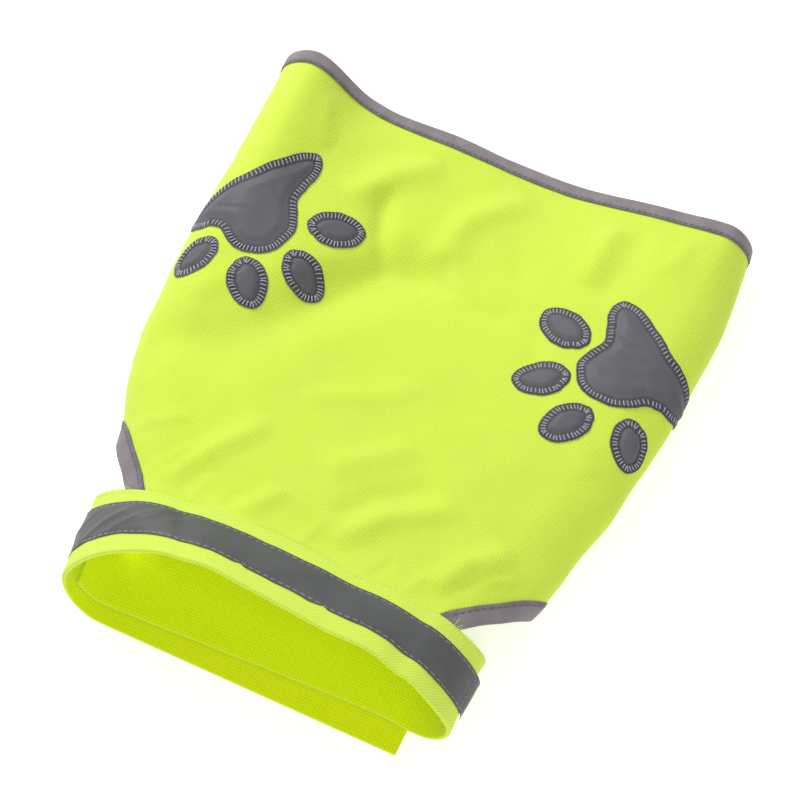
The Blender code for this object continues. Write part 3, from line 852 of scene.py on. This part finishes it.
def make_band():
    """The doubled neck band, folded at its rim and turned in at its rear edge."""
    columns, steps = BAND_GRID
    bend = np.linspace(pi / 2, -pi / 2, 9)
    top = np.linspace(BAND_WIDTH - 0.3, BAND_HALF, steps)
    rows = [(BAND_WIDTH - 0.2, 0.32), (BAND_WIDTH, 0.5)]
    rows += [(d, BAND_HALF) for d in top]
    rows += [(BAND_HALF - BAND_HALF * cos(b), BAND_HALF * sin(b)) for b in bend[1:-1]]
    rows += [(d, -BAND_HALF) for d in top[::-1]]
    rows += [(BAND_WIDTH, -0.5)]
    gone = gone_by(*np.array(rows).T)[::-1, None]
    from_rim, height = np.array(rows[::-1]).T[:, :, None]
    left = BAND.reach(RIM_Y + from_rim, -1)
    right = BAND.reach(RIM_Y + from_rim + BAND_TWIST - TWIST_LOSS, 1)
    s = -left + np.linspace(0.0, 1.0, columns) * (left + right)
    bm = sheet_grid(BAND, s, band_place(from_rim, s), height + 0.0 * s, pairs(s, gone + 0.0 * s))
    material = woven("band_cloth", 1.25 * vest_sizes().weave, 0.3, 0.6, BAND_WIDTH + 0.6)
    obj = finish_piece("neck_band_cloth", bm, material, "bright_cloth", ["neck_band"], CLOTH)


def tape_shape(s, from_rim):
    """How the tape lies on the band: dips at its stitches, a worn edge and a free right end."""
    from_seam = np.abs(from_rim - TAPE_SEAM)
    from_seam = np.minimum(from_seam, np.abs(TAPE_WIDTH - TAPE_SEAM - from_rim))
    pucker = np.sin(2 * pi * s / TAPE_PITCH)
    out = 0.05 - 0.16 * np.exp(-((from_seam / 0.9) ** 2)) * (1.0 + 0.5 * pucker)
    soft = read_grid(BAND.crumple, (from_rim + 60.0) / 9.0, (s + 330.0) / 6.0 + 0.12 * from_rim)
    lean = s - 1.6 * from_rim
    waves = sum(size * np.exp(-(((lean - at) / 3.0) ** 2)) for at, size in TAPE_WAVES)
    out = out + 0.09 * soft + waves * np.sin(np.clip(from_rim / TAPE_WIDTH, 0.0, 1.0) * pi)
    out = out + 0.12 * smooth((s - 70.0) / 8.0)
    free = smooth((s - TAPE_END_RIGHT + 7.0) / 7.0)
    return out + free * (0.7 + 1.9 * from_rim / TAPE_WIDTH)


def make_tape():
    """The reflective tape on the band, worn along its front edge, and its stitches."""
    columns, rows = BAND_GRID
    line = np.linspace(TAPE_END_LEFT, TAPE_END_RIGHT, columns)
    s, across = np.meshgrid(line, np.linspace(0.0, TAPE_WIDTH, rows))
    ragged = read_grid(BAND.crumple, np.full(columns, 20.0), (line + 330.0) / 4.0)
    nicks = sum(0.9 * np.exp(-(((line - at) / 1.6) ** 2)) for at in TAPE_NICKS)
    front = 0.14 * ragged + nicks
    squeeze = 1.0 - across / TAPE_WIDTH
    from_rim = TAPE_FROM_RIM + across + front[None, :] * squeeze**3
    out = BAND_HALF + CLOTH / 2 + TAPE_CLOTH / 2 + 0.08 + tape_shape(s, across)
    bm = sheet_grid(BAND, s, band_place(from_rim, s), out)
    tape = reflective("tape_film", vest_sizes().tape, vest_sizes().tape_pale, 0.42)
    obj = finish_piece("neck_tape_cloth", bm, tape, "reflective_tape", ["neck_tape"], TAPE_CLOTH)
    made = []
    top = BAND_HALF + CLOTH / 2 + TAPE_CLOTH + 0.1
    for from_edge in (TAPE_SEAM, TAPE_WIDTH - TAPE_SEAM):
        here = np.full(columns, from_edge)
        lines = band_place(TAPE_FROM_RIM + from_edge, line)
        heights = top + tape_shape(line, here)
        made += row_of_stitches(BAND, line, lines, heights, TAPE_PITCH, 0.8)
    end = np.linspace(TAPE_SEAM, TAPE_WIDTH - TAPE_SEAM, 30)
    at = np.full(len(end), TAPE_END_RIGHT - TAPE_END_SEAM)
    lines = band_place(TAPE_FROM_RIM + end, at)
    made += row_of_stitches(BAND, at, lines, top + tape_shape(at, end), TAPE_END_PITCH, 0.75)
    stitches("tape_stitches", made, "tape", "grey", "reflective_tape")


def make_loose_ends():
    """The band's own small sewing: the seam's stitches, a bar tack inside and loose threads."""
    line = np.linspace(-113.0, 113.0, 300)
    seam = band_place(BAND_WIDTH - BAND_SEAM, line)
    made = row_of_stitches(BAND, line, seam, BAND_HALF + CLOTH / 2 + 0.03, BAND_PITCH, 0.72)

    def lay(s, y, out):
        points = BAND.point(s, y, out)
        made.extend(zip(points[:-1], points[1:] + (points[1:] - points[:-1]) * OVERRUN))

    turn = np.linspace(0.0, pi, 8)
    bow = np.sin(turn)
    lay(ARCH_S - ARCH_HALF * np.cos(turn), RIM_Y + 37.3 + bow, 1.1 + 1.1 * bow)
    share = np.linspace(0.0, 1.0, 6)
    for s, lean, rise in LOOSE_THREADS:
        lay(s + lean * share**2, RIM_Y + 36.8 + 1.2 * rise * share, 1.0 + 0.7 * rise * share)
    stitches("band_stitches", made, "band", "bright", "bright_cloth")
    at, deep = np.array(TACK_S), -BAND_HALF - CLOTH / 2 - 0.05
    ends = (BAND.point(at + lean, RIM_Y + rim + 0.0 * at, deep) for lean, rim in TACK_ENDS)
    stitches("bar_tack", list(zip(*ends)), "tack", "dark", "bright_cloth")


def pad_outline(count, skew):
    """A plain three-lobed paw pad: one lobe towards the toes and a wider one at each side."""
    angle = np.linspace(0.0, 2 * pi, count, endpoint=False)
    ahead = np.sin(angle)
    lobes = 1.0 - PAD_LOBES * np.sin(3 * angle)
    lobes += PAD_FRONT * np.clip(ahead, 0.0, 1.0) ** 6
    across = PAD_HALF_WIDTH * lobes * np.cos(angle)
    along = PAD_HALF_LENGTH * lobes * ahead
    along = np.where(along < 0.0, PAD_REAR * np.tanh(along / PAD_REAR), along)
    return pairs(across, along + skew * across)


def toe_outline(count, length, width):
    angle = np.linspace(0.0, 2 * pi, count, endpoint=False)
    return pairs(width / 2 * np.cos(angle), length / 2 * np.sin(angle))


def edge_distance(points, outline):
    """Distance of each point from a closed outline."""
    ends = np.roll(outline, -1, axis=0)
    nearest = np.full(len(points), 1e9)
    for start, stop in zip(outline, ends):
        way = stop - start
        t = np.clip(((points - start) @ way) / (way @ way), 0.0, 1.0)
        nearest = np.minimum(nearest, np.linalg.norm(points - start - t[:, None] * way, axis=1))
    return nearest


def patch_height(inside, crown, rise):
    """Height of a patch so far in from its edge: a flat sewn border, then a groove and a puff."""
    border = vest_sizes().border
    edge = PATCH_LIFT + 0.1 * np.exp(-((inside / 0.5) ** 2))
    groove = -PATCH_GROOVE * np.exp(-(((inside - border) / 0.55) ** 2))
    puff = crown * smooth((inside - border) / rise)
    return edge + groove + puff


def make_patch(name, outline, rings, centre, turn, side, puff, creases=(), dent=0.0):
    """One padded reflective patch, given by its outline round a centre. Returns its stitches."""
    def cloth_place(points):
        s = centre[0] + points[:, 0] * cos(turn) - points[:, 1] * sin(turn)
        y = centre[1] - points[:, 0] * sin(turn) - points[:, 1] * cos(turn)
        return side * s, y

    outline = sewn_outline(outline)
    bm = disc_grid(rings, len(outline))
    across, ahead = np.array([vert.co[:2] for vert in bm.verts]).T
    angle, radius = np.arctan2(ahead, across) % (2 * pi), np.hypot(across, ahead)
    angles = np.linspace(0.0, 2 * pi, len(outline) + 1)
    closed = np.vstack([outline, outline[:1]])
    flat = pairs(*(radius * np.interp(angle, angles, closed[:, k]) for k in (0, 1)))
    inside = edge_distance(flat, outline)
    dimple = dent * np.exp(-((flat[:, 0] / 9.0) ** 2 + ((flat[:, 1] + 2.0) / 5.0) ** 2))
    wrinkle = ridges(creases, *flat.T) - dimple
    out = patch_height(inside, *puff) + wrinkle * smooth((inside - 3.0) / 3.0)
    s, y = cloth_place(flat)
    place_points(bm, BODY.point(s, y, out), pairs(s, y))
    layer = bm.verts.layers.float.new("border")
    for vert, dark in zip(bm.verts, 1.0 - smooth((inside - vest_sizes().border) / 0.5)):
        vert[layer] = dark
    bmesh.ops.recalc_face_normals(bm, faces=bm.faces)
    film = bpy.data.materials["patch_film"]
    obj = finish_piece(f"{name}_cloth", bm, film, "reflective_patch", [name], PATCH_CLOTH, -1.0)
    span = outline.max(0) - outline.min(0)
    float(0.76 * span[0] * span[1]) * MM * MM
    return edge_stitches(outline, cloth_place)


def sewn_outline(outline):
    """The outline as sewn by eye, drawn in here and there by its stitches."""
    ends = np.roll(outline, -1, axis=0) - np.roll(outline, 1, axis=0)
    out = pairs(ends[:, 1], -ends[:, 0]) / np.linalg.norm(ends, axis=1)[:, None]
    count = len(outline) // 4
    pulls = np.random.default_rng(len(outline)).normal(-0.1, 0.24, count)
    places = np.arange(len(outline)) / len(outline) * count
    pull = np.interp(places, np.arange(count + 1), np.append(pulls, pulls[0]))
    return outline + out * pull[:, None]


def edge_stitches(outline, cloth_place):
    """Ends of the close stitches across a patch's border, and of the dark loops along its edge."""
    closed = np.vstack([outline, outline[:1]])
    lengths = gone_by(*closed.T)
    count = int(round(lengths[-1] / vest_sizes().stitch_pitch))
    uneven = np.random.default_rng(count)
    at = np.linspace(0.0, lengths[-1], count, endpoint=False) + uneven.normal(0.0, 0.06, count)

    def along(distance):
        return pairs(*(np.interp(distance % lengths[-1], lengths, line) for line in closed.T))

    def inner(distance, inset):
        way = along(distance + 0.6) - along(distance - 0.6)
        way /= np.linalg.norm(way, axis=1)[:, None]
        return along(distance) + pairs(-way[:, 1], way[:, 0]) * inset

    def point(lag, share, height):
        deep = share * (vest_sizes().border - 0.25) + uneven.normal(0.0, 0.07, count) - 0.25
        return BODY.point(*cloth_place(inner(at + lag, deep[:, None])), height)

    start, middle, stop = point(-0.2, 0.15, 0.62), point(0.0, 0.55, 0.92), point(0.2, 1.0, 0.68)
    rungs = []
    for first, mid, last in zip(start, middle, stop):
        rungs.append((first, mid + (mid - first) * OVERRUN))
        rungs.append((mid + (mid - last) * OVERRUN, last))
    edge = point(0.0, 0.03, 0.54)
    return rungs, list(zip(edge, np.roll(edge, -1, axis=0)))


def make_paw(name, side, s, y, turn, skew):
    """A paw's pad and toes, and the sewing round all five in two pieces."""
    turn = radians(turn)
    creases = [row[1:] for row in PAD_CREASES if row[0] == name]
    count, rings = PAD_MESH
    rungs, loops = make_patch(
        f"paw_{name}_pad", pad_outline(count, skew), rings, (s, y), turn, side, PAD_PUFF,
        creases, PAD_DENT,
    )
    count, rings = TOE_MESH
    for k, (across, along, own_turn, length, width) in enumerate(TOES, 1):
        centre = (
            s + across * cos(turn) - along * sin(turn), y - across * sin(turn) - along * cos(turn)
        )
        more = make_patch(
            f"paw_{name}_toe_{k}", toe_outline(count, length, width), rings, centre,
            turn - radians(own_turn), side, TOE_PUFF,
        )
        rungs, loops = rungs + more[0], loops + more[1]
    for kind, made in (("satin", rungs), ("loop", loops)):
        stitches(f"paw_{name}_{kind}_stitches", made, kind, kind, "reflective_patch", 5)


# Lights: name, place and size in metres, and watts.
LIGHTS = (
    ("window", (-1.0, 0.85, 1.0), 0.6, 21.5),
    ("front", (0.6, -0.85, 1.15), 1.0, 8.8),
)
ROOM_LIGHT = 0.44
AZIMUTH, ELEVATION = radians(25.3), radians(61.0)
AIM = (5.0, 5.5, 20.0)    # in millimetres, in the section table's own frame
DISTANCE = 0.945
LENS = 99.99


def make_stage():
    """The floor, the soft lights and the camera at the photograph's angle."""
    bm = bmesh.new()
    bmesh.ops.create_grid(bm, x_segments=1, y_segments=1, size=4.0)
    mesh = mesh_from("floor", bm)
    mesh.materials.append(plain_floor())
    floor = add_object("floor", mesh)
    floor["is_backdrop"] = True
    for name, place, size, power in LIGHTS:
        light = bpy.data.lights.new(name, "AREA")
        light.size = size
        light.energy = power
        lamp = add_object(name, light)
        lamp.location = place
        lamp.rotation_euler = (-Vector(place)).to_track_quat("-Z", "Y").to_euler()
    world = bpy.data.worlds.new("room")
    world.use_nodes = True
    room = world.node_tree.nodes["Background"]
    room.inputs[0].default_value = colour((1.0, 1.0, 1.0))
    room.inputs[1].default_value = ROOM_LIGHT
    scene = bpy.context.scene
    scene.world = world
    scene.view_settings.view_transform = "Standard"
    a, e = AZIMUTH, ELEVATION
    back = Vector((sin(a) * cos(e), -cos(a) * cos(e), sin(e)))
    right = Vector((cos(a), sin(a), 0.0))
    up = back.cross(right)
    place = Vector((AIM[0] - MIDDLE_X, AIM[1] - MIDDLE_Y, AIM[2])) * MM + back * DISTANCE
    camera = add_object("camera", bpy.data.cameras.new("camera"))
    camera.data.sensor_width = 36.0
    camera.data.lens = LENS
    camera.data.clip_start = 0.01
    turn = Matrix((right, up, back)).transposed().to_4x4()
    camera.matrix_world = Matrix.Translation(place) @ turn
    scene.camera = camera


# --- the add-on


def number(name, description, default, low, high):
    return bpy.props.FloatProperty(
        name=name, description=description, default=default, min=low, max=high
    )


def shade(name, default):
    return bpy.props.FloatVectorProperty(
        name=name, description="Base colour, from 0 to 1", default=default, size=3,
        subtype="COLOR", min=0, max=1,
    )


class VestSizes(bpy.types.PropertyGroup):
    """Sizes and colours of the vest that a user would change."""

    weave: number("Weave", "Pitch of the body's weave in mm", 1.1, 0.5, 3.0)
    border: number("Border width", "Width of the patches' sewn border in mm", 3.7, 1.0, 6.0)
    stitch_pitch: number("Border stitches", "Pitch of the border's stitches in mm", 1.8, 0.8, 4.0)
    # Painted glow: emission standing in for the cloth's fluorescence and for fill light.
    painted_glow: number("Glow", "How strongly the cloth fluoresces", 0.1, 0.0, 1.0)
    cloth: shade("Cloth", (0.57, 0.73, 0.07))
    # Painted highlight on thread and rib tops, also the colour of random lighter flecks.
    cloth_highlight_and_fleck: shade("Cloth, thread tops", (0.72, 0.85, 0.28))
    # Painted shade between the threads and between the ribs.
    cloth_painted_shade: shade("Cloth, between threads", (0.42, 0.60, 0.01))
    # Painted bounce light: the inner face's colour is brighter and more saturated than the
    # cloth's.
    cloth_inner_bounce_light: shade("Cloth, inner face", (0.66, 0.77, 0.002))
    binding: shade("Binding", (0.235, 0.203, 0.216))
    # Painted shade between the ribs and along the binding's turned-in edge.
    binding_deep: shade("Binding, between ribs", (0.12, 0.1, 0.115))
    tape: shade("Tape", (0.09, 0.094, 0.092))
    tape_pale: shade("Tape, rubbed", (0.13, 0.134, 0.133))
    patch: shade("Patches", (0.108, 0.107, 0.122))
    patch_pale: shade("Patches, rubbed", (0.165, 0.163, 0.182))
    thread: shade("Thread", (0.34, 0.325, 0.375))
    thread_pale: shade("Thread, lit", (0.5, 0.485, 0.54))
    satin: shade("Edge stitching", (0.26, 0.25, 0.29))
    satin_pale: shade("Edge stitching, lit", (0.48, 0.465, 0.53))


def vest_sizes():
    return bpy.context.scene.vest_sizes


class VEST_OT_materials(bpy.types.Operator):
    """Makes the binding, patch and thread materials"""

    bl_idname = "vest.materials"
    bl_label = "Materials"

    def execute(self, context):
        sizes = vest_sizes()
        binding_cloth("binding", sizes.binding, sizes.binding_deep)
        reflective("patch_film", sizes.patch, sizes.patch_pale, 0.55)
        thread("grey", sizes.thread, sizes.thread_pale)
        thread("satin", sizes.satin, sizes.satin_pale)
        thread("loop", (0.085, 0.083, 0.095), sizes.patch_pale)
        thread("taupe", (0.05, 0.042, 0.048), sizes.binding_deep)
        thread("bright", sizes.cloth, sizes.cloth_highlight_and_fleck)
        thread("dark", (0.05, 0.06, 0.01), (0.16, 0.2, 0.01))
        return {"FINISHED"}


class VEST_OT_body(bpy.types.Operator):
    """Makes the back, sides and belly flaps in bright cloth"""

    bl_idname = "vest.body"
    bl_label = "Body"

    def execute(self, context):
        make_body()
        return {"FINISHED"}


class VEST_OT_bindings(bpy.types.Operator):
    """Makes the bindings of the hem and the leg openings, with their stitches"""

    bl_idname = "vest.bindings"
    bl_label = "Bindings"

    def execute(self, context):
        make_hem()
        make_leg("left", -1)
        make_leg("right", 1)
        return {"FINISHED"}


class VEST_OT_neck(bpy.types.Operator):
    """Makes the doubled neck band and its reflective tape"""

    bl_idname = "vest.neck"
    bl_label = "Neck band and tape"

    def execute(self, context):
        make_band()
        make_tape()
        make_loose_ends()
        return {"FINISHED"}


class VEST_OT_paws(bpy.types.Operator):
    """Makes the padded paw patches and the stitches round them"""

    bl_idname = "vest.paws"
    bl_label = "Paw patches"

    def execute(self, context):
        for paw in PAWS:
            make_paw(*paw)
        return {"FINISHED"}


class VEST_OT_stage(bpy.types.Operator):
    """Makes the floor, the lights and the camera"""

    bl_idname = "vest.stage"
    bl_label = "Stage"

    def execute(self, context):
        make_stage()
        return {"FINISHED"}


OPERATORS = (
    VEST_OT_materials, VEST_OT_body, VEST_OT_bindings, VEST_OT_neck, VEST_OT_paws, VEST_OT_stage,
)


class VEST_PT_panel(bpy.types.Panel):
    """Lists the vest's pieces in the sidebar"""

    bl_label = "Dog safety vest"
    bl_idname = "VEST_PT_panel"
    bl_space_type = "VIEW_3D"
    bl_region_type = "UI"
    bl_category = "Vest"

    def draw(self, context):
        for name in VestSizes.__annotations__:
            self.layout.prop(context.scene.vest_sizes, name)
        for operator in OPERATORS:
            self.layout.operator(operator.bl_idname)


CLASSES = (VestSizes, *OPERATORS, VEST_PT_panel)


def register():
    for made in CLASSES:
        bpy.utils.register_class(made)
    bpy.types.Scene.vest_sizes = bpy.props.PointerProperty(type=VestSizes)


def unregister():
    del bpy.types.Scene.vest_sizes
    for made in reversed(CLASSES):
        bpy.utils.unregister_class(made)


def main():
    register()
    for step in OPERATORS:
        group, name = step.bl_idname.split(".")
        getattr(getattr(bpy.ops, group), name)()
    boxes = {"cad": CAD_BOX, "visual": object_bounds()}
    plain = {key: [list(corner) for corner in value] for key, value in boxes.items()}


if __name__ == "__main__":
    main()
